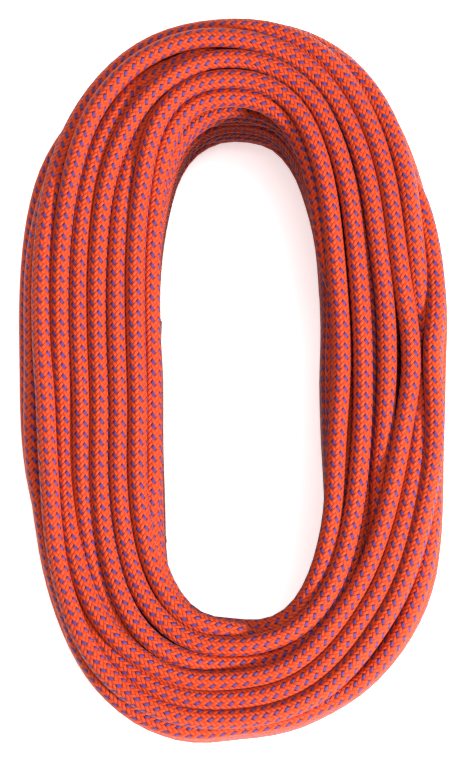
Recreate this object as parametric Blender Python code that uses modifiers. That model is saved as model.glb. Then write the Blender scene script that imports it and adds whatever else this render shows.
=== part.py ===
"""Dynamic climbing rope: 60 m of kernmantle rope, wound into one long flat coil that lies on its face.

Metres, +Z up. The origin is at the centre of the footprint, on the surface the coil rests on. The coil's
long axis runs along Y and the rope is wound anticlockwise, seen from above, from its inner end to its
outer end.

The wound turns are one closed ring of their outer shape. Where the rope leaves the turns, at its two
ends, it is taken apart into what a kernmantle rope is made of: a braided sheath, the core strands and
the marker tape inside it, the shrink sleeve round its end and the fused tip.
"""

import math

import bpy
import numpy as np

# Driving dimensions: the rope
ROPE_DIAMETER = 0.0098
ROPE_LENGTH = 60.0
SHEATH_WALL = 0.0013

# Driving dimensions: the coil, over its widest outline
COIL_LENGTH = 0.364
COIL_WIDTH = 0.214
BUNDLE_WIDTH = 0.067
OUTLINE_POWER = 2.6  # 2 would be an ellipse, and a higher power squares its corners
PACKING = 0.84  # how much of the bundle's section is rope
TOP_RADIUS = 0.024
BOTTOM_RADIUS = 0.030
GAP = 0.0003  # between pieces that touch

# Driving dimensions: the two ends
TAIL_LENGTH = 0.112
TAIL_POINTS = 9
TAIL_SPREAD = 0.0011  # how far the sleeve pushes the rope away from the turns
TAIL_LIFT = 0.0008  # and up from the surface
SPREAD_START = 0.045  # from the tip, the spread and lift die away over this length again
TIP_LENGTH = 0.0045
SLEEVE_LENGTH = 0.046
SLEEVE_WALL = 0.0004
SLEEVE_SETBACK = 0.0012  # from the face of the tip

# Driving dimensions: the core, as rings of strands round the rope's axis
OUTER_STRANDS = 9
OUTER_RING_RADIUS = 0.0025
OUTER_STRAND_RADIUS = 0.0007
INNER_PLACES = 3  # two strands and the marker tape
INNER_RING_RADIUS = 0.00085
INNER_STRAND_RADIUS = 0.0006
TAPE_WIDTH = 0.0010
TAPE_THICKNESS = 0.0002

RING_STATIONS = 64
CORNER_STEPS = 5
ROPE_RADIUS = ROPE_DIAMETER / 2
OUTLINE_SAMPLES = 2880


def clear_scene():
    for obj in list(bpy.data.objects):
        bpy.data.objects.remove(obj, do_unlink=True)


def new_collection(name):
    collection = bpy.data.collections.new(name)
    bpy.context.scene.collection.children.link(collection)
    return collection


def new_material(name, colour, roughness):
    material = bpy.data.materials.new(name)
    material.use_nodes = True
    shader = material.node_tree.nodes["Principled BSDF"]
    shader.inputs["Base Color"].default_value = (*colour, 1.0)
    shader.inputs["Roughness"].default_value = roughness
    return material


def middle_outline():
    """The closed line along the middle of the bundle, with its sideways direction and its running length."""
    half_width = (COIL_WIDTH - BUNDLE_WIDTH) / 2
    half_length = (COIL_LENGTH - BUNDLE_WIDTH) / 2
    angle = np.linspace(0, 2 * math.pi, OUTLINE_SAMPLES + 1)
    across = np.abs(np.cos(angle) / half_width) ** OUTLINE_POWER
    along = np.abs(np.sin(angle) / half_length) ** OUTLINE_POWER
    radius = (across + along) ** (-1 / OUTLINE_POWER)
    points = np.column_stack([radius * np.cos(angle), radius * np.sin(angle)])
    heading = np.roll(points[:-1], -1, axis=0) - np.roll(points[:-1], 1, axis=0)
    heading = np.vstack([heading, heading[:1]])
    heading /= np.linalg.norm(heading, axis=1)[:, None]
    outwards = np.column_stack([heading[:, 1], -heading[:, 0]])
    steps = np.linalg.norm(np.diff(points, axis=0), axis=1)
    return points, outwards, np.concatenate([[0], np.cumsum(steps)])


def coil_height(turn_length):
    """The height that gives the section room for the rope's whole length."""
    turns = ROPE_LENGTH / turn_length
    section = turns * math.pi * ROPE_RADIUS**2 / PACKING
    corners = (2 - math.pi / 2) * (TOP_RADIUS**2 + BOTTOM_RADIUS**2)
    return (section + corners) / BUNDLE_WIDTH


def bundle_profile(height):
    """The bundle's section, clockwise from its lower inner corner: nearly flat below, rounder above."""
    half = BUNDLE_WIDTH / 2
    corners = [
        (half - BOTTOM_RADIUS, BOTTOM_RADIUS, BOTTOM_RADIUS, -90),
        (half - TOP_RADIUS, height - TOP_RADIUS, TOP_RADIUS, 0),
        (TOP_RADIUS - half, height - TOP_RADIUS, TOP_RADIUS, 90),
        (BOTTOM_RADIUS - half, BOTTOM_RADIUS, BOTTOM_RADIUS, 180),
    ]
    profile = []
    for centre_x, centre_z, radius, start in corners:
        for step in range(CORNER_STEPS + 1):
            turn = math.radians(start + 90 * step / CORNER_STEPS)
            profile.append((centre_x + radius * math.cos(turn), centre_z + radius * math.sin(turn)))
    return profile[::-1]


def poly_curve(name, points, cyclic=False):
    """A curve object on a POLY spline through the points."""
    curve = bpy.data.curves.new(name, "CURVE")
    curve.dimensions = "3D"
    curve.twist_mode = "Z_UP"
    curve.fill_mode = "FULL"
    spline = curve.splines.new("POLY")
    spline.points.add(len(points) - 1)
    for target, point in zip(spline.points, points):
        target.co = (*point, 1.0)
    spline.use_cyclic_u = cyclic
    spline.use_smooth = True
    return bpy.data.objects.new(name, curve)


def add_piece(obj, collection, material):
    obj.data.materials.append(material)
    collection.objects.link(obj)
    return obj


def tube(name, points, radius, sides_setting, capped=True):
    obj = poly_curve(name, points)
    obj.data.bevel_depth = radius
    obj.data.bevel_resolution = sides_setting
    obj.data.use_fill_caps = capped
    return obj


def thicken(obj, wall, offset):
    """Gives an open surface its wall: offset -1 grows it inwards, 1 outwards and 0 both ways."""
    shell = obj.modifiers.new("wall", "SOLIDIFY")
    shell.thickness = wall
    shell.offset = offset
    shell.use_even_offset = True
    return obj


def build_coil(collection, guides, material):
    """The wound turns, as a ring of their outer shape."""
    points, _, run = middle_outline()
    height = coil_height(run[-1])
    wanted = np.linspace(0, run[-1], RING_STATIONS, endpoint=False)
    ring = [(np.interp(s, run, points[:, 0]), np.interp(s, run, points[:, 1]), 0) for s in wanted]
    profile = poly_curve("bundle_profile", [(x, z, 0) for x, z in bundle_profile(height)], cyclic=True)
    profile.data.dimensions = "2D"
    profile.hide_render = True
    profile.display_type = "WIRE"
    guides.objects.link(profile)
    coil = poly_curve("rope_coil", ring, cyclic=True)
    coil.data.bevel_mode = "OBJECT"
    coil.data.bevel_object = profile
    return add_piece(coil, collection, material)


def tail_route(side, tip_angle):
    """The middle of the rope along one tail, from its tip to where it goes in among the turns.

    side is 1 for the tail in the coil's lower outer corner and -1 for the one in its lower inner corner.
    tip_angle is where the tip lies, in degrees round the coil. The turns run anticlockwise, so the outer
    tail runs back clockwise from its tip and the inner one runs on anticlockwise.
    """
    points, outwards, _ = middle_outline()
    corner = BUNDLE_WIDTH / 2 - BOTTOM_RADIUS
    reach = (BOTTOM_RADIUS + ROPE_RADIUS + 3 * GAP) * math.sqrt(0.5)
    edge = points + side * outwards * (corner + reach)
    run = np.concatenate([[0], np.cumsum(np.linalg.norm(np.diff(edge, axis=0), axis=1))])
    tip = run[round(tip_angle / 360 * OUTLINE_SAMPLES)]
    route = []
    for along in np.linspace(0, TAIL_LENGTH, TAIL_POINTS):
        place = (tip - side * along) % run[-1]
        fade = (1 + math.cos(math.pi * min(max(along / SPREAD_START - 1, 0), 1))) / 2
        spot = [
            np.interp(place, run, edge[:, axis] + side * fade * TAIL_SPREAD * outwards[:, axis])
            for axis in (0, 1)
        ]
        route.append((*spot, ROPE_RADIUS + GAP + fade * TAIL_LIFT))
    return np.array(route)


def stretch(route, start, end):
    """The part of a route between two running lengths, with its own first and last point."""
    run = np.concatenate([[0], np.cumsum(np.linalg.norm(np.diff(route, axis=0), axis=1))])
    inside = run[(run > start + GAP) & (run < end - GAP)]
    return np.array([[np.interp(s, run, route[:, axis]) for axis in range(3)] for s in (start, *inside, end)])


def beside(route, radius, turn):
    """A route that runs beside this one, at this radius and angle round its axis."""
    heading = np.gradient(route, axis=0)
    heading /= np.linalg.norm(heading, axis=1)[:, None]
    level = np.cross(heading, (0, 0, 1))
    level /= np.linalg.norm(level, axis=1)[:, None]
    upright = np.cross(level, heading)
    return route + radius * (math.cos(turn) * level + math.sin(turn) * upright)


def build_core(name, inside, collection, materials):
    """The core of one tail: a ring of strands round two more strands and the marker tape."""
    for place in range(OUTER_STRANDS):
        strand = beside(inside, OUTER_RING_RADIUS, 2 * math.pi * place / OUTER_STRANDS)
        piece = tube(f"{name}_core_strand_{place + 1:02d}", strand, OUTER_STRAND_RADIUS, 2)
        add_piece(piece, collection, materials["core"])
    for place in range(INNER_PLACES):
        line = beside(inside, INNER_RING_RADIUS, 2 * math.pi * (place + 0.25) / INNER_PLACES)
        if place == INNER_PLACES - 1:
            tape = poly_curve(f"{name}_marker_tape", line)
            tape.data.extrude = TAPE_WIDTH / 2
            thicken(tape, TAPE_THICKNESS, 0)
            add_piece(tape, collection, materials["tape"])
            continue
        piece = tube(f"{name}_core_strand_{OUTER_STRANDS + place + 1:02d}", line, INNER_STRAND_RADIUS, 2)
        add_piece(piece, collection, materials["core"])


def build_tail(name, side, tip_angle, collection, materials):
    """One end of the rope: sheath, core, shrink sleeve and fused tip."""
    route = tail_route(side, tip_angle)
    length = np.linalg.norm(np.diff(route, axis=0), axis=1).sum()
    inside = stretch(route, TIP_LENGTH + GAP, length)

    sheath = tube(f"{name}_sheath", inside, ROPE_RADIUS, 6, capped=False)
    add_piece(thicken(sheath, SHEATH_WALL, -1), collection, materials["sheath"])
    build_core(name, inside, collection, materials)

    covered = stretch(route, SLEEVE_SETBACK, SLEEVE_SETBACK + SLEEVE_LENGTH)
    sleeve = tube(f"{name}_sleeve", covered, ROPE_RADIUS + GAP + SLEEVE_WALL, 6, capped=False)
    add_piece(thicken(sleeve, SLEEVE_WALL, -1), collection, materials["sleeve"])

    tip = tube(f"{name}_tip", stretch(route, 0, TIP_LENGTH), ROPE_RADIUS, 6)
    add_piece(tip, collection, materials["tip"])


def build():
    clear_scene()
    parts = new_collection("dynamic_climbing_rope")
    guides = new_collection("guides")
    guides.hide_render = True
    materials = {
        "sheath": new_material("orange_sheath", (0.83, 0.10, 0.02), 0.7),
        "core": new_material("white_core", (0.86, 0.85, 0.80), 0.6),
        "tape": new_material("marker_tape", (0.85, 0.68, 0.10), 0.4),
        "sleeve": new_material("shrink_sleeve", (0.02, 0.02, 0.025), 0.35),
        "tip": new_material("fused_tip", (0.28, 0.03, 0.01), 0.3),
    }
    build_coil(parts, guides, materials["sheath"])
    build_tail("outer_end", 1, 112, parts, materials)
    build_tail("inner_end", -1, 150, parts, materials)


build()
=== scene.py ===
"""The looks of a 60 m dynamic climbing rope, wound into one long flat coil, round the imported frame.

Metres, +Z up. The frame gives the coil's box and the pieces at the rope's two ends: core strands, marker
tape, sleeves and fused tips. This script winds the rope itself, all its turns, as one tube with a braided
sheath, from the end in the coil's lower inner corner to the one in its lower outer corner.
"""
import math

import bpy
import numpy as np
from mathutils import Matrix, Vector


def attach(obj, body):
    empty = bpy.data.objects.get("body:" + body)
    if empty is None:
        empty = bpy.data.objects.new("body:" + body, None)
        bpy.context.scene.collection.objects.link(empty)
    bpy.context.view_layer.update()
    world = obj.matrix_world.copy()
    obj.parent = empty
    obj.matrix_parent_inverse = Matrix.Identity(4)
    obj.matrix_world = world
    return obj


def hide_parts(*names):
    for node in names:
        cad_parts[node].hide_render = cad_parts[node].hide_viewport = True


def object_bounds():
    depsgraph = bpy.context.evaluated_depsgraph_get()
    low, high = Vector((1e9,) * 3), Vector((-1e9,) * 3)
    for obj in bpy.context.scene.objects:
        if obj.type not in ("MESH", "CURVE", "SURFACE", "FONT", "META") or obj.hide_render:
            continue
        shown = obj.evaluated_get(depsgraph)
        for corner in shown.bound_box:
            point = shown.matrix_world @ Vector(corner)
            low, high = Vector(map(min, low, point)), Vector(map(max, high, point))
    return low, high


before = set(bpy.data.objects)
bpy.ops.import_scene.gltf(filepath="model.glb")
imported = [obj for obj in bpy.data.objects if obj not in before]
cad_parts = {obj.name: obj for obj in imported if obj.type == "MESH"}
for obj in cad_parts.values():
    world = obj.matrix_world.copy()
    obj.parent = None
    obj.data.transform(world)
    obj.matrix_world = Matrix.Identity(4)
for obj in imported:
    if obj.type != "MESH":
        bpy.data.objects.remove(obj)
cad_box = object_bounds()

# The rope
ROPE_RADIUS = 0.0049
SIDES = 12
FLECK_PITCH = 0.0053
TILE_PITCHES = 3  # the braid repeats after this many flecks
TILE_RINGS = 2
RING_STEP = FLECK_PITCH * TILE_PITCHES / TILE_RINGS
YARNS = 14  # each way round the rope
LEAD = 7 * FLECK_PITCH  # a yarn goes once round the rope in this length
TWILL = 4.0  # a yarn passes over two others and under two, so the braid repeats every four
CAP_MIDDLE, CAP_SIZE = 0.5, 0.01  # the spot of the UV map that the rope's two flat ends take
BRAID_RELIEF = 0.0004
GROOVE_DEPTH = 0.45  # between a yarn's two strands, as a share of the yarn's height
GROOVE_POWER = 3.0
RUN_POWER = 0.7  # below 1, so that a yarn comes up steeply where it passes over others
# Painted shade: the braid's orange darkens where a yarn lies low between others, by this power of its
# height
SHADE_POWER = 0.5
# the first orange is that painted shade, the second the yarn's own orange on its crown
PAINTED_SHADE_ORANGE, TOP_ORANGE = (0.27, 0.018, 0.005, 1), (0.54, 0.066, 0.015, 1)
VIOLET_FROM, VIOLET_RISE = 0.05, 8.0  # by the yarn's height, so that its low edge stays orange
# Painted shade: a fleck darkens towards its ends, where its yarn dives under the crossing yarns
MIDDLE_FROM, MIDDLE_RISE = 0.35, 2.5  # by the place along the fleck
# the first violet is that painted shade, the second the fleck's own violet in its middle
PAINTED_SHADE_VIOLET, MIDDLE_VIOLET = (0.050, 0.003, 0.012, 1), (0.095, 0.046, 0.165, 1)
TWIST_SEED = 11
TWIST_RINGS = 60  # the rope's own twist changes from one to another in this many rings
TWIST_STEP = 0.35  # by about this much, in radians

# The plain materials of the pieces at its ends
CLOUD_SCALE = 400.0
CLOUD_DARKEST = 0.8
GRAIN_SCALE = 1500.0
GRAIN_RELIEF = 0.0001

# The coil's middle line and the bundle round it, as in the CAD source
COIL_LENGTH = 0.364
COIL_WIDTH = 0.214
BUNDLE_WIDTH = 0.067
BOTTOM_RADIUS = 0.030
OUTLINE_POWER = 2.6
OUTLINE_SAMPLES = 2880
CROWN = cad_box[1].z - ROPE_RADIUS  # the height of the highest turns

# The rope's ends, as in the CAD source
GAP = 0.0003
TIP_LENGTH = 0.0045
TAIL_LENGTH = 0.112
TAIL_OVERRUN = 0.009  # the rope leaves the tail's line this far beyond the CAD pieces
TAIL_SPREAD = 0.0011  # near its tip an end stands this far further away from the bundle
TAIL_LIFT = 0.0008  # and this far further off the ground, which leaves room for the sleeve
SPREAD_START = 0.045  # both fade out from this far behind the tip
INNER_TIP_ANGLE = 150
OUTER_TIP_ANGLE = 112

# The winding
WINDING_SEED = 3
TURNS = 76  # from the inner end to the outer end, to the nearest whole turn
STATIONS = 72  # sections round the coil
COLUMNS = 8
CONTACT = 0.0095  # pressed together, two turns lie a little nearer than a diameter
MOST_IN_SECTION = 82
SETTLING_STEPS = 320
POINTS_A_STATION = 8  # points of the smooth centreline from one section to the next

# Settling: a share is of the way still to go, taken in one step, and lengths are in metres
JITTER = 0.0004  # unevenness of the hidden turns before they settle
JOINING_ROUNDS = 60  # of smoothing, where a turn goes over from one column to the next
JOINING_SHARE = 0.5
TO_FACE = 0.15  # of the turns in the inner and outer column, towards the face
TO_COLUMN = 0.01  # of the other hidden turns, towards the middle of their column
TO_HEIGHT = 0.002
SINKING = 0.00015  # how far a hidden turn sinks in the first step, and less and less later
FIRM_PUSH = 0.9  # between turns that lie in each other, until the last steps
LAST_PUSH = 0.6
LAST_STEPS = 0.2  # the share of the steps that are the last ones
PUSHES = 2  # in each step
STRAIGHTENING = 0.35
PAST_FACE = 0.003  # a stretch held on top may lie this far beyond the faces

# How far the bundle's outer and inner faces lie from its middle line, in mm, by the angle round the coil
OUTER_FACE = [
    (0, 32.3), (30, 34.5), (46, 30.8), (62, 30), (75, 32.2), (90, 31.5), (100, 29.3), (112, 28.7),
    (126, 35.2), (145, 34.3), (180, 32.6), (202, 32.2), (213, 31.4), (223, 29), (232, 29.6),
    (243, 31.2), (255, 34.8), (262, 35.5), (272, 31), (281, 30.5), (292, 35), (303, 37.5), (318, 33.7),
    (335, 31.8),
]
INNER_FACE = [
    (0, 29.4), (20, 28.4), (33, 27.8), (50, 26), (60, 25), (70, 22.5), (80, 20.5), (90, 19.5),
    (100, 23.5), (112, 27.5), (122, 31), (141, 34), (155, 35.6), (180, 37.9), (212, 37.2), (226, 35.4),
    (235, 31.8), (245, 28.2), (258, 27), (266, 24), (278, 20.9), (290, 19.8), (300, 20.6), (312, 22.5),
    (325, 26), (340, 28.5),
]

# How round the bundle's top edges are, as a radius in mm, by the angle round the coil
OUTER_SHOULDER = [
    (0, 25), (30, 25), (50, 29), (60, 33), (75, 37), (110, 38), (120, 32), (135, 28), (170, 26),
    (230, 25), (250, 20), (260, 15), (300, 15), (320, 22), (340, 26),
]
INNER_SHOULDER = [
    (0, 20), (40, 22), (60, 26), (80, 33), (100, 33), (120, 24), (135, 18), (240, 20), (260, 25),
    (290, 30), (310, 25), (330, 20),
]

# The three stretches of rope that lie on top of the bundle: the turn of the rope that each counts its
# angles from, and then (angle, distance outwards from the middle line in mm, depth below the crown in mm)
TOP_STRETCHES = [
    (9, [
        (-40, -23.5, 9), (0, -25, 9), (45, -24.5, 8), (65, -20.5, 6.5), (77, -17, 5.5),
        (90, -13.5, 4.5), (110, -20, 4.5), (127, -27.5, 4.5), (150, -31.5, 5.5), (180, -33.8, 7),
        (214, -33, 7), (235, -25.5, 8), (255, -22.9, 8.4), (270, -20.3, 8.4), (280, -19, 6.5),
        (290, -17.9, 3.5), (300, -18.2, 1), (310, -19.6, 0.5), (320, -21.6, 0.5), (335, -22.2, 0.5),
        (350, -21, 0.5), (360, -20.5, 0.5), (396, -21.4, 0.5), (424, -17.1, 0.5), (437, -11.2, 0.5),
        (450, -5, 0.5), (457, -6.2, 0.5), (470, -12.1, 0.5), (487, -21, 0.5), (515, -25, 0.3),
        (540, -26, 0.3), (557, -26.8, 0.3), (574, -25.3, 0), (595, -22.7, 0), (615, -21, 1),
        (630, -18.8, 3), (640, -15.5, 9.5), (655, -15, 11), (700, -15.3, 11), (720, -15.3, 12),
    ]),
    (28, [
        (90, 0, 9), (105, -3.5, 7), (118, -9.5, 3.5), (127, -11.5, 1.5), (140, -14, 0.5), (180, -17, 0),
        (197, -17.5, 0), (214, -15.8, 0), (235, -13.3, 0), (247, -11.5, 0), (256, -12.8, 0),
        (270, -12.8, 0), (285, -12.6, 0), (296, -10.5, 0), (324, -10.5, 0), (360, -10, 0),
        (396, -11, 0), (415, -8.8, 0), (424, -6.8, 0), (437, -0.8, 0), (450, 5, 0), (463, 2.5, 0),
        (470, -0.3, 0), (478, -1.5, 0), (487, -2, 0), (500, -4.5, 0), (540, -7.6, 0), (555, -8.4, 0),
        (574, -6.5, 0), (595, -2.6, 0.3), (607, 0.2, 0.6), (617, -0.8, 1.5), (630, -3.2, 5),
        (640, -5, 7.5), (651, -7, 9), (665, -6.5, 9.5), (720, -4.5, 9), (765, -4, 9), (800, 8, 9),
        (810, 10, 9), (820, 8.5, 7), (828, 7.5, 4), (836, 6.5, 2), (847, 5.3, 1), (865, 3.5, 0.5),
        (900, 1.4, 0.3), (915, 0.3, 0.5), (934, 2.2, 1.5), (955, 4.4, 2), (965, 4.5, 3.5),
        (975, 2.5, 7), (990, 0, 9),
    ]),
    (64, [
        (-705, 20, 5), (-690, 19, 2), (-681, 18.5, 0.8), (-665, 20.3, 0.5), (-655, 21, 2),
        (-645, 21.5, 7), (-630, 21, 14), (-600, 22.5, 14), (-580, 25.7, 11), (-560, 26, 9),
        (-540, 26.2, 9), (-520, 26.2, 9.6), (-505, 24.2, 10), (-490, 22.5, 9.5), (-480, 24.5, 9),
        (-470, 28, 8), (-460, 31.2, 8), (-452, 28.5, 9), (-440, 26.3, 9.5), (-429, 28.7, 7),
        (-420, 30, 6), (-410, 28.5, 6.5), (-395, 26, 8.4), (-375, 26, 11), (-360, 26, 13),
        (-270, 19, 9.5), (-180, 16, 9), (-130, 18, 8), (-120, 17.5, 4.5), (-105, 17, 1),
        (-90, 14.7, 0.5), (-69, 8.7, 0.5), (-60, 11.5, 0.5), (-50, 13.5, 0.8), (-30, 17.5, 2),
        (-15, 19, 5), (0, 19.5, 9), (90, 20, 9.5), (180, 7, 9), (240, 0, 11), (270, -3.2, 12.5),
        (300, -3, 12.5), (310, -2, 10.5), (320, -1, 7), (330, 0, 3.5), (340, 0.8, 1.2), (350, 1.4, 0.3),
        (360, 1.9, 0), (405, 0.8, 0), (415, 2, 0), (425, 4.2, 0), (440, 11, 0), (450, 15, 0),
        (463, 15.8, 0), (475, 16.6, 0), (487, 14.6, 0), (535, 10.8, 0.2), (555, 9, 2.6),
        (575, 9.5, 3.2), (595, 12.4, 0.8), (607, 13, 0), (617, 8.5, 0), (630, 5, 0), (640, 2.5, 0),
        (651, -0.6, 0), (660, 2.3, 0), (670, 5, 0), (690, 9, 0), (705, 12.3, 0), (720, 13.9, 0),
        (738, 12.6, 0), (759, 9.7, 0), (775, 11.2, 0), (788, 13.5, 0), (800, 18.5, 2), (810, 20.5, 7),
        (823, 21, 8.4), (835, 21.5, 7.5), (847, 22.3, 4.5), (860, 22, 1.5), (875, 20.4, 0.5),
        (900, 18.6, 0.2), (915, 17.4, 0), (935, 17, 0), (948, 18.2, 0), (960, 20.3, 0.3),
        (975, 23.5, 1), (990, 23.6, 1.5), (995, 22.5, 1), (1011, 18.3, 0.5), (1020, 20.8, 0.5),
        (1030, 22.7, 0.7), (1050, 24, 1.3), (1065, 23.6, 1.3), (1080, 23.7, 1.5), (1095, 23.9, 2),
        (1119, 25.4, 4), (1127, 24.6, 6.5), (1135, 23.2, 9.5), (1148, 21.5, 14), (1160, 20, 18),
        (1170, 19.5, 20), (1200, 20, 24),
    ]),
]
SHOWING_DEPTH = 0.0085  # where a stretch lies less deep than this it shows, so it is held to its place
HELD = 0.5
GUIDED = 0.06  # where it lies deeper, it follows its place more loosely
FILL_DEPTH = 0.0165  # the hidden columns end this far below the crown


def smooth_between(x, known_x, known_y):
    """A cubic through the known points that never overshoots them."""
    step = np.diff(known_x)
    slope = np.diff(known_y) / step
    before, after = slope[:-1], slope[1:]
    weight_1, weight_2 = 2 * step[1:] + step[:-1], step[1:] + 2 * step[:-1]
    same_way = before * after > 0
    safe_before, safe_after = np.where(same_way, before, 1), np.where(same_way, after, 1)
    mean = (weight_1 + weight_2) / (weight_1 / safe_before + weight_2 / safe_after)
    tangent = np.concatenate([[0], np.where(same_way, mean, 0), [0]])
    i = np.clip(np.searchsorted(known_x, x) - 1, 0, len(step) - 1)
    t = np.clip((x - known_x[i]) / step[i], 0, 1)
    from_values = known_y[i] * (1 + 2 * t) * (1 - t) ** 2 + known_y[i + 1] * t * t * (3 - 2 * t)
    from_slopes = tangent[i] * t * (1 - t) ** 2 + tangent[i + 1] * t * t * (t - 1)
    return from_values + step[i] * from_slopes


def running_length(points):
    """The length along the points, at each of them."""
    return np.concatenate([[0], np.cumsum(np.linalg.norm(np.diff(points, axis=0), axis=1))])


class MiddleLine:
    """The closed line along the middle of the bundle, as in the CAD source."""

    def __init__(self):
        half_width = (COIL_WIDTH - BUNDLE_WIDTH) / 2
        half_length = (COIL_LENGTH - BUNDLE_WIDTH) / 2
        angle = np.linspace(0, 2 * math.pi, OUTLINE_SAMPLES + 1)
        across = np.abs(np.cos(angle) / half_width) ** OUTLINE_POWER
        along = np.abs(np.sin(angle) / half_length) ** OUTLINE_POWER
        radius = (across + along) ** (-1 / OUTLINE_POWER)
        self.points = np.column_stack([radius * np.cos(angle), radius * np.sin(angle)])
        heading = np.roll(self.points[:-1], -1, axis=0) - np.roll(self.points[:-1], 1, axis=0)
        heading = np.vstack([heading, heading[:1]])
        heading /= np.linalg.norm(heading, axis=1)[:, None]
        self.outwards = np.column_stack([heading[:, 1], -heading[:, 0]])
        run = running_length(self.points)
        self.share = run / run[-1]
        self.degrees = np.degrees(angle)

    def turns(self, angle):
        """The number of turns run through from the +X side, for an angle run through in degrees."""
        angle = np.asarray(angle, float)
        whole = np.floor(angle / 360)
        return whole + np.interp(angle - 360 * whole, self.degrees, self.share)

    def place(self, turns, out, height):
        """Points in space, from turns run through, distance outwards and height."""
        at = turns % 1
        x, y = (np.interp(at, self.share, self.points[:, axis]) for axis in (0, 1))
        out_x, out_y = (np.interp(at, self.share, self.outwards[:, axis]) for axis in (0, 1))
        return np.column_stack([x + out * out_x, y + out * out_y, height])

    def face(self, table, turns):
        """A face of the bundle at these turns, smooth all round the coil, in metres."""
        table = np.array(table)
        at = self.turns(table[:, 0])
        around = np.concatenate([at - 1, at, at + 1])
        return smooth_between(turns % 1, around, np.tile(table[:, 1], 3)) / 1000


def tail_place(line, turns, tip, side):
    """Distance outwards and height of the rope near one end, and the length from its tip, as in the CAD."""
    corner = BUNDLE_WIDTH / 2 - BOTTOM_RADIUS
    reach = corner + (BOTTOM_RADIUS + ROPE_RADIUS + 3 * GAP) * math.sqrt(0.5)
    fine = np.linspace(0, 1, OUTLINE_SAMPLES)
    run = running_length(line.place(fine, side * reach, np.zeros(OUTLINE_SAMPLES)))
    whole = np.floor(np.append(turns, tip))
    at = whole * run[-1] + np.interp(np.append(turns, tip) - whole, fine, run)
    along = side * (at[-1] - at[:-1])
    fade = (1 + np.cos(math.pi * np.clip(along / SPREAD_START - 1, 0, 1))) / 2
    out = side * (reach + fade * TAIL_SPREAD)
    return np.column_stack([out, ROPE_RADIUS + GAP + fade * TAIL_LIFT]), along


def drawn_in(corner, gap):
    """How far a wall with a rounded edge draws in, at this gap from its top or bottom."""
    over = np.clip(corner - gap, 0, corner)
    return corner - np.sqrt(corner**2 - over**2)


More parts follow.
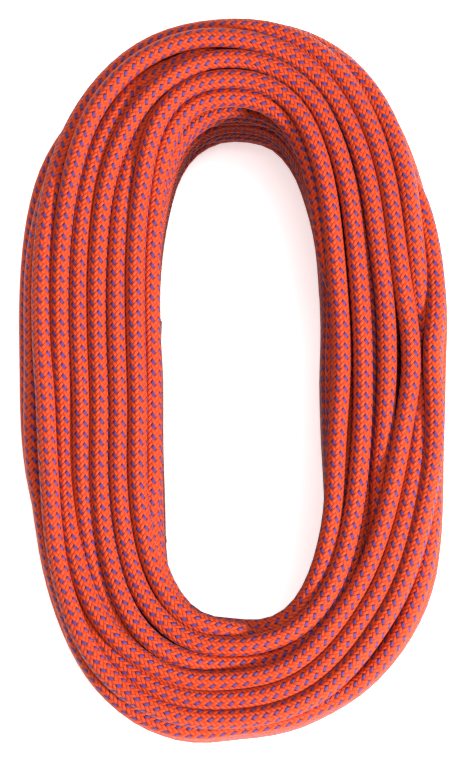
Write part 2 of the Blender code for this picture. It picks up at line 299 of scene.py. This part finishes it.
class Winding:
    """The rope's places in the bundle's sections: its turns are laid in columns, then pushed apart.

    Those that show end up on and beside each other. Hidden ones still lie in each other here and there.
    """

    def __init__(self, line):
        self.line = line
        self.start = line.turns(INNER_TIP_ANGLE)
        self.end = TURNS + line.turns(OUTER_TIP_ANGLE)
        index = np.arange(math.ceil(self.start * STATIONS), math.floor(self.end * STATIONS) + 1)
        self.turns = index / STATIONS
        self.outer = line.face(OUTER_FACE, self.turns) - ROPE_RADIUS
        self.inner = ROPE_RADIUS - line.face(INNER_FACE, self.turns)
        self.outer_round = line.face(OUTER_SHOULDER, self.turns) - ROPE_RADIUS
        self.inner_round = line.face(INNER_SHOULDER, self.turns) - ROPE_RADIUS
        self.lay_top()
        self.lay_columns()
        self.lay_tails()
        self.position = np.where(self.free[:, None], self.column_place, self.target)
        self.position[self.tail] = self.tail_position[self.tail]
        joined = self.free[1:-1]
        for _ in range(JOINING_ROUNDS):
            middle = (self.position[:-2] + self.position[2:]) / 2
            self.position[1:-1][joined] += JOINING_SHARE * (middle - self.position[1:-1])[joined]
        rng = np.random.default_rng(WINDING_SEED)
        self.position[self.free] += rng.normal(0, JITTER, (self.free.sum(), 2))
        self.sections = self.by_section(index % STATIONS)

    def lay_top(self):
        """Where the stretches on top want to lie, and how strongly."""
        self.target = np.zeros((len(self.turns), 2))
        self.hold = np.zeros(len(self.turns))
        self.top_ends = []
        for base, stretch in TOP_STRETCHES:
            angle, out, depth = np.array(stretch, float).T
            at = base + self.line.turns(angle)
            inside = (self.turns >= at[0]) & (self.turns <= at[-1])
            depth_here = smooth_between(self.turns[inside], at, depth) / 1000
            self.target[inside, 0] = smooth_between(self.turns[inside], at, out) / 1000
            self.target[inside, 1] = CROWN - depth_here
            self.hold[inside] = np.where(depth_here < SHOWING_DEPTH, HELD, GUIDED)
            self.top_ends.append((at[0], at[-1]))
        self.free = self.hold == 0

    def lay_columns(self):
        """The hidden turns lie in columns, wound up and down by turns from the inner face to the outer."""
        (top_1, end_1), (top_2, end_2), (top_3, end_3) = self.top_ends
        half_way = (end_1 + top_2) / 2
        spans = [(self.start, top_1), (end_1, half_way), (half_way, top_2)]
        cuts = np.linspace(end_2, top_3, COLUMNS - len(spans))
        spans += [*zip(cuts, cuts[1:]), (end_3, self.end + 1)]
        self.share = np.full(len(self.turns), np.nan)
        height = np.zeros(len(self.turns))
        bottom, top = ROPE_RADIUS, CROWN - FILL_DEPTH
        for column, (first, last) in enumerate(spans):
            inside = (self.turns >= first) & (self.turns < last) & self.free
            gone = (self.turns[inside] - first) / (last - first)
            self.share[inside] = column / (COLUMNS - 1)
            height[inside] = bottom + (top - bottom) * (gone if column % 2 == 0 else 1 - gone)
        out = self.inner + np.nan_to_num(self.share) * (self.outer - self.inner)
        self.column_place = np.column_stack([out, height])

    def lay_tails(self):
        """The places of the two ends, which follow the CAD pieces."""
        inner_tail, inner_along = tail_place(self.line, self.turns, self.start, -1)
        outer_tail, outer_along = tail_place(self.line, self.turns, self.end, 1)
        near_start = (self.turns < self.start + 1) & (inner_along < TAIL_LENGTH + TAIL_OVERRUN)
        near_end = (self.turns > self.end - 1) & (outer_along < TAIL_LENGTH + TAIL_OVERRUN)
        self.tail = near_start | near_end
        self.tail_position = np.where(near_start[:, None], inner_tail, outer_tail)

    def by_section(self, station):
        """For each section of the coil, the places in the rope that pass through it, or -1."""
        sections = np.full((STATIONS, MOST_IN_SECTION), -1)
        filled = np.zeros(STATIONS, int)
        for place, k in enumerate(station):
            sections[k, filled[k]] = place
            filled[k] += 1
        return sections[:, : filled.max()]

    def pull(self, cool):
        """One step of the hidden turns to their columns, and of the stretches on top to their places."""
        at_face = (self.share == 0) | (self.share == 1)
        share = np.where(at_face, TO_FACE, TO_COLUMN)
        sideways = share * (self.column_place[:, 0] - self.position[:, 0])
        sinking = TO_HEIGHT * (self.column_place[:, 1] - self.position[:, 1]) - SINKING * cool
        to_column = np.column_stack([sideways, sinking])
        to_target = self.hold[:, None] * (self.target - self.position)
        self.position += np.where(self.free[:, None], to_column, to_target)

    def push_apart(self, strength):
        """Turns that lie in each other go apart, in their own section of the coil."""
        missing = self.sections < 0
        here = self.position[np.where(missing, 0, self.sections)]
        here[missing] = np.nan
        between = here[:, :, None] - here[:, None]
        distance = np.sqrt((between**2).sum(-1))
        touching = (distance < CONTACT) & (distance > 0)
        overlap = np.where(touching, CONTACT - distance, 0)
        safe = np.where(touching, distance, 1)
        push = (np.nan_to_num(between) * (0.5 * overlap / safe)[..., None]).sum(2)
        push *= strength / np.sqrt(np.maximum(touching.sum(2), 1))[..., None]
        self.position[self.sections[~missing]] += push[~missing]

    def keep_inside(self):
        """Straighten the rope a little, and keep it inside the bundle's outline and off the ground."""
        middle = (self.position[:-2] + self.position[2:]) / 2
        self.position[1:-1] += STRAIGHTENING * (middle - self.position[1:-1])
        height = np.maximum(self.position[:, 1], ROPE_RADIUS)
        bottom = BOTTOM_RADIUS - ROPE_RADIUS
        inner = drawn_in(self.inner_round, CROWN - height)
        inner += drawn_in(np.maximum(self.inner_round, bottom), height - ROPE_RADIUS)
        outer = drawn_in(self.outer_round, CROWN - height) + drawn_in(bottom, height - ROPE_RADIUS)
        held = self.hold == HELD
        least = self.inner + np.where(held, -PAST_FACE, inner)
        most = self.outer - np.where(held, -PAST_FACE, outer)
        self.position[:, 0] = np.clip(self.position[:, 0], least, most)
        self.position[:, 1] = height
        self.position[self.tail] = self.tail_position[self.tail]

    def settle(self):
        """All the steps: they push most turns clear of each other, and some hidden ones only in part."""
        for step in range(SETTLING_STEPS):
            cool = 1 - step / SETTLING_STEPS
            self.pull(cool)
            for _ in range(PUSHES):
                self.push_apart(FIRM_PUSH if cool > LAST_STEPS else LAST_PUSH)
            self.keep_inside()

    def centreline(self):
        """Points down the middle of the whole rope, a ring's step apart, from one tip to the other."""
        ends = np.array([self.start, self.end])
        first = tail_place(self.line, ends[:1], self.start, -1)[0]
        last = tail_place(self.line, ends[1:], self.end, 1)[0]
        known = np.concatenate([ends[:1], self.turns, ends[1:]])
        places = np.vstack([first, self.position, last])
        fine = np.linspace(self.start, self.end, int((self.end - self.start) * STATIONS * POINTS_A_STATION))
        out, height = (smooth_between(fine, known, places[:, axis]) for axis in (0, 1))
        dense = self.line.place(fine, out, height)
        run = running_length(dense)
        rings = int((run[-1] - 2 * (TIP_LENGTH + GAP)) / RING_STEP)
        rings -= rings % TILE_RINGS
        at = TIP_LENGTH + GAP + np.linspace(0, run[-1] - 2 * (TIP_LENGTH + GAP), rings + 1)
        return np.column_stack([np.interp(at, run, dense[:, axis]) for axis in range(3)])


def unit(vectors):
    """The same directions with length 1."""
    return vectors / np.linalg.norm(vectors, axis=-1, keepdims=True)


def carried_frames(path):
    """Two directions across the path at each point, carried along it without twist, then turned slowly."""
    heading = unit(np.gradient(path, axis=0))
    side = np.zeros_like(path)
    side[0] = unit(np.cross(heading[0], (0, 0, 1)))
    for i in range(1, len(path)):
        carried = side[i - 1] - heading[i] * (side[i - 1] @ heading[i])
        side[i] = carried / math.sqrt(carried @ carried)
    up = np.cross(heading, side)
    rng = np.random.default_rng(TWIST_SEED)
    knots = np.cumsum(rng.normal(0, TWIST_STEP, len(path) // TWIST_RINGS + 3))
    turn = smooth_between(np.arange(len(path)), np.arange(len(knots)) * float(TWIST_RINGS), knots)[:, None]
    return side * np.cos(turn) + up * np.sin(turn), up * np.cos(turn) - side * np.sin(turn)


def build_rope(path):
    """The whole rope as one closed tube. Each repeat of its braid fills the square of its UV map."""
    side, up = carried_frames(path)
    angle = np.linspace(0, 2 * math.pi, SIDES, endpoint=False)
    ring = np.cos(angle)[:, None] * side[:, None] + np.sin(angle)[:, None] * up[:, None]
    points = (path[:, None] + ROPE_RADIUS * ring).reshape(-1, 3)
    rings = len(path)
    row, col = np.meshgrid(np.arange(rings - 1), np.arange(SIDES), indexing="ij")
    row, col = row.ravel(), col.ravel()
    nxt = (col + 1) % SIDES
    faces = np.column_stack([
        row * SIDES + col, row * SIDES + nxt, (row + 1) * SIDES + nxt, (row + 1) * SIDES + col,
    ])
    caps = [list(range(SIDES))[::-1], [(rings - 1) * SIDES + k for k in range(SIDES)]]
    mesh = bpy.data.meshes.new("rope")
    mesh.from_pydata(points.tolist(), [], faces.tolist() + caps)
    along = (row % TILE_RINGS) / TILE_RINGS
    left, right = col / SIDES, (col + 1) / SIDES
    low, high = along, along + 1 / TILE_RINGS
    quads = np.stack([
        np.column_stack([left, low]), np.column_stack([right, low]),
        np.column_stack([right, high]), np.column_stack([left, high]),
    ], axis=1).reshape(-1, 2)
    round_cap = CAP_MIDDLE + CAP_SIZE * np.column_stack([np.cos(angle), np.sin(angle)])
    uv = np.vstack([quads, round_cap[::-1], round_cap])
    mesh.uv_layers.new(name="OFBake").data.foreach_set("uv", uv.astype(np.float32).ravel())
    mesh.shade_smooth()
    mesh.update()
    rope = bpy.data.objects.new("rope", mesh)
    bpy.context.scene.collection.objects.link(rope)
    return rope


class Nodes:
    """Short names for making a material's nodes."""

    def __init__(self, name):
        self.material = bpy.data.materials.new(name)
        self.material.use_nodes = True
        self.tree = self.material.node_tree
        self.shader = self.tree.nodes["Principled BSDF"]

    def new(self, kind, **settings):
        node = self.tree.nodes.new(kind)
        for name, value in settings.items():
            setattr(node, name, value)
        return node

    def feed(self, socket, value):
        if isinstance(value, bpy.types.NodeSocket):
            self.tree.links.new(value, socket)
        else:
            socket.default_value = value

    def math(self, operation, *values, clamp=False):
        node = self.new("ShaderNodeMath", operation=operation, use_clamp=clamp)
        for socket, value in zip(node.inputs, values):
            self.feed(socket, value)
        return node.outputs[0]

    def mix(self, share, first, second):
        node = self.new("ShaderNodeMix", data_type="RGBA")
        self.feed(node.inputs["Factor"], share)
        self.feed(node.inputs["A"], first)
        self.feed(node.inputs["B"], second)
        return node.outputs["Result"]

    def noise(self, scale, detail=2.0):
        place = self.new("ShaderNodeTexCoord").outputs["Object"]
        node = self.new("ShaderNodeTexNoise")
        self.feed(node.inputs["Vector"], place)
        self.feed(node.inputs["Scale"], scale)
        self.feed(node.inputs["Detail"], detail)
        return node.outputs["Fac"]

    def set(self, **values):
        for name, value in values.items():
            self.feed(self.shader.inputs[name.replace("_", " ")], value)

    def bump(self, height, distance, strength=1.0):
        node = self.new("ShaderNodeBump")
        self.feed(node.inputs["Height"], height)
        self.feed(node.inputs["Distance"], distance)
        self.feed(node.inputs["Strength"], strength)
        self.feed(self.shader.inputs["Normal"], node.outputs["Normal"])


def sheath_material():
    """A twill braid: its yarns run round the rope both ways and pass over two others and under two.

    Of those that run the first way, every second one shows violet. Low parts of the yarns get a painted
    shade.
    """
    n = Nodes("braided_sheath")
    uv = n.new("ShaderNodeUVMap", uv_map="OFBake").outputs["UV"]
    split = n.new("ShaderNodeSeparateXYZ")
    n.feed(split.inputs[0], uv)
    round_it = n.math("MULTIPLY", split.outputs["X"], YARNS)
    along = n.math("MULTIPLY", split.outputs["Y"], YARNS * TILE_PITCHES * FLECK_PITCH / LEAD)
    first_way = n.math("ADD", round_it, along)
    other_way = n.math("ADD", n.math("SUBTRACT", round_it, along), YARNS)
    first_yarn, first_part = n.math("FLOOR", first_way), n.math("FRACT", first_way)
    other_yarn, other_part = n.math("FLOOR", other_way), n.math("FRACT", other_way)
    crossing = n.math("FLOORED_MODULO", n.math("ADD", first_yarn, other_yarn), TWILL)
    first_over = n.math("LESS_THAN", crossing, 1.5)
    accent = n.math("LESS_THAN", n.math("FLOORED_MODULO", first_yarn, 2.0), 0.5)
    fleck = n.math("MULTIPLY", first_over, accent)

    def crown(part):
        """0 at both ends of the part from 0 to 1, and 1 in its middle."""
        return n.math("SINE", n.math("MULTIPLY", part, math.pi))

    def strands(part):
        """A yarn's section: two strands of filaments side by side."""
        groove = n.math("ABSOLUTE", n.math("COSINE", n.math("MULTIPLY", part, math.pi)))
        groove = n.math("POWER", n.math("SUBTRACT", 1.0, groove), GROOVE_POWER)
        left = n.math("SUBTRACT", 1.0, n.math("MULTIPLY", groove, GROOVE_DEPTH))
        return n.math("MULTIPLY", crown(part), left)

    first_run = n.math("DIVIDE", n.math("ADD", crossing, other_part), 2.0)
    other_run = n.math("DIVIDE", n.math("ADD", n.math("SUBTRACT", crossing, 2.0), first_part), 2.0)
    first_height = n.math("MULTIPLY", strands(first_part), n.math("POWER", crown(first_run), RUN_POWER))
    other_height = n.math("MULTIPLY", strands(other_part), n.math("POWER", crown(other_run), RUN_POWER))
    picked = n.new("ShaderNodeMix", data_type="FLOAT")
    n.feed(picked.inputs["Factor"], first_over)
    n.feed(picked.inputs["A"], other_height)
    n.feed(picked.inputs["B"], first_height)
    height = picked.outputs["Result"]

    # painted shade: the orange darkens towards the low parts of the yarns
    orange = n.mix(n.math("POWER", height, SHADE_POWER), PAINTED_SHADE_ORANGE, TOP_ORANGE)
    edge = n.math("MULTIPLY", n.math("SUBTRACT", height, VIOLET_FROM), VIOLET_RISE, clamp=True)
    # the painted shade at a fleck's ends gives way to its own violet towards its middle
    middle = n.math("SUBTRACT", crown(first_run), MIDDLE_FROM)
    middle = n.math("MULTIPLY", middle, MIDDLE_RISE, clamp=True)
    violet = n.mix(middle, PAINTED_SHADE_VIOLET, MIDDLE_VIOLET)
    colour = n.mix(n.math("MULTIPLY", fleck, edge), orange, violet)
    n.set(Base_Color=colour, Roughness=0.6, Sheen_Weight=0.12, Sheen_Roughness=0.35)
    n.set(Sheen_Tint=(1.0, 0.55, 0.50, 1.0), Specular_IOR_Level=0.25)
    n.bump(height, BRAID_RELIEF)
    return n.material


def plain_material(name, colour, roughness, **more):
    """One colour, a little uneven, with a fine grain."""
    n = Nodes(name)
    cloud = n.noise(CLOUD_SCALE)
    dark = tuple(CLOUD_DARKEST * c for c in colour) + (1,)
    n.set(Base_Color=n.mix(cloud, dark, (*colour, 1)), Roughness=roughness, **more)
    n.bump(n.noise(GRAIN_SCALE), GRAIN_RELIEF, strength=0.3)
    return n.material


def dress_ends():
    """Materials for the pieces at the rope's two ends that keep their CAD shape."""
    looks = {
        "core_strand": ("core", plain_material("core_yarn", (0.80, 0.79, 0.74), 0.6, Sheen_Weight=0.3)),
        "marker_tape": ("marker_tape", plain_material("marker_tape", (0.75, 0.60, 0.10), 0.35)),
        "sleeve": ("end_sleeve", plain_material("shrink_sleeve", (0.018, 0.018, 0.020), 0.32)),
        "tip": ("fused_tip", plain_material("fused_tip", (0.25, 0.03, 0.012), 0.28)),
    }
    for name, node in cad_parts.items():
        for word, (slot, material) in looks.items():
            if word in name:
                node.data.materials.clear()
                node.data.materials.append(material)


LIT_POINT = (0, 0, 0.05)
SURROUND_STRENGTH = 0.55
FLOOR_SIZE = 12
FLOOR_GAP = 0.0002  # the coil stands this far above the floor, so that the two don't share a surface


def area_light(name, place, size, power):
    """A round white light that shines at the coil and isn't seen itself."""
    light = bpy.data.lights.new(name, "AREA")
    light.shape = "DISK"
    light.size = size
    light.energy = power
    obj = bpy.data.objects.new(name, light)
    obj.location = place
    obj.rotation_euler = (Vector(LIT_POINT) - Vector(place)).to_track_quat("-Z", "Y").to_euler()
    obj.visible_camera = False
    bpy.context.scene.collection.objects.link(obj)


def build_stage():
    """A pale floor, a pale surround, a soft key light low on the +X side and a weaker light overhead."""
    bpy.ops.mesh.primitive_plane_add(size=FLOOR_SIZE, location=(0, 0, -FLOOR_GAP))
    floor = bpy.context.object
    floor.name = "floor"
    n = Nodes("pale_floor")
    n.set(Base_Color=(0.90, 0.90, 0.90, 1), Roughness=0.9, Specular_IOR_Level=0.1)
    n.set(Emission_Color=(1, 1, 1, 1), Emission_Strength=0.5)
    floor.data.materials.append(n.material)
    world = bpy.data.worlds.new("studio")
    world.use_nodes = True
    surround = world.node_tree.nodes["Background"]
    surround.inputs["Color"].default_value = (1, 1, 1, 1)
    surround.inputs["Strength"].default_value = SURROUND_STRENGTH
    bpy.context.scene.world = world
    view_settings = bpy.context.scene.view_settings
    view_settings.view_transform = "Standard"
    view_settings.look = "Medium High Contrast"
    area_light("overhead", place=(0.3, 0.15, 2.8), size=0.9, power=36)
    area_light("key", place=(3.2, -2.1, 2.5), size=0.8, power=380)


def build_camera():
    """A long lens that looks down on the coil, tipped a little so that it looks from the -Y end."""
    tilt = math.radians(8)
    distance = 1.6
    view_height = 0.3838  # what the frame's height takes in, at the middle of the coil
    middle = Vector((0, 0, cad_box[1].z / 2))
    camera = bpy.data.cameras.new("camera")
    camera.sensor_width = 36
    camera.lens = camera.sensor_width * distance / view_height
    obj = bpy.data.objects.new("camera", camera)
    obj.location = middle + distance * Vector((0, -math.sin(tilt), math.cos(tilt)))
    obj.rotation_euler = (tilt, 0, 0)
    bpy.context.scene.collection.objects.link(obj)
    bpy.context.scene.camera = obj


def main():
    build_camera()
    line = MiddleLine()
    winding = Winding(line)
    winding.settle()
    path = winding.centreline()
    rope = build_rope(path)
    rope.data.materials.append(sheath_material())
    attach(rope, "root")
    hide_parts("rope_coil", "inner_end_sheath", "outer_end_sheath")
    dress_ends()
    build_stage()


main()
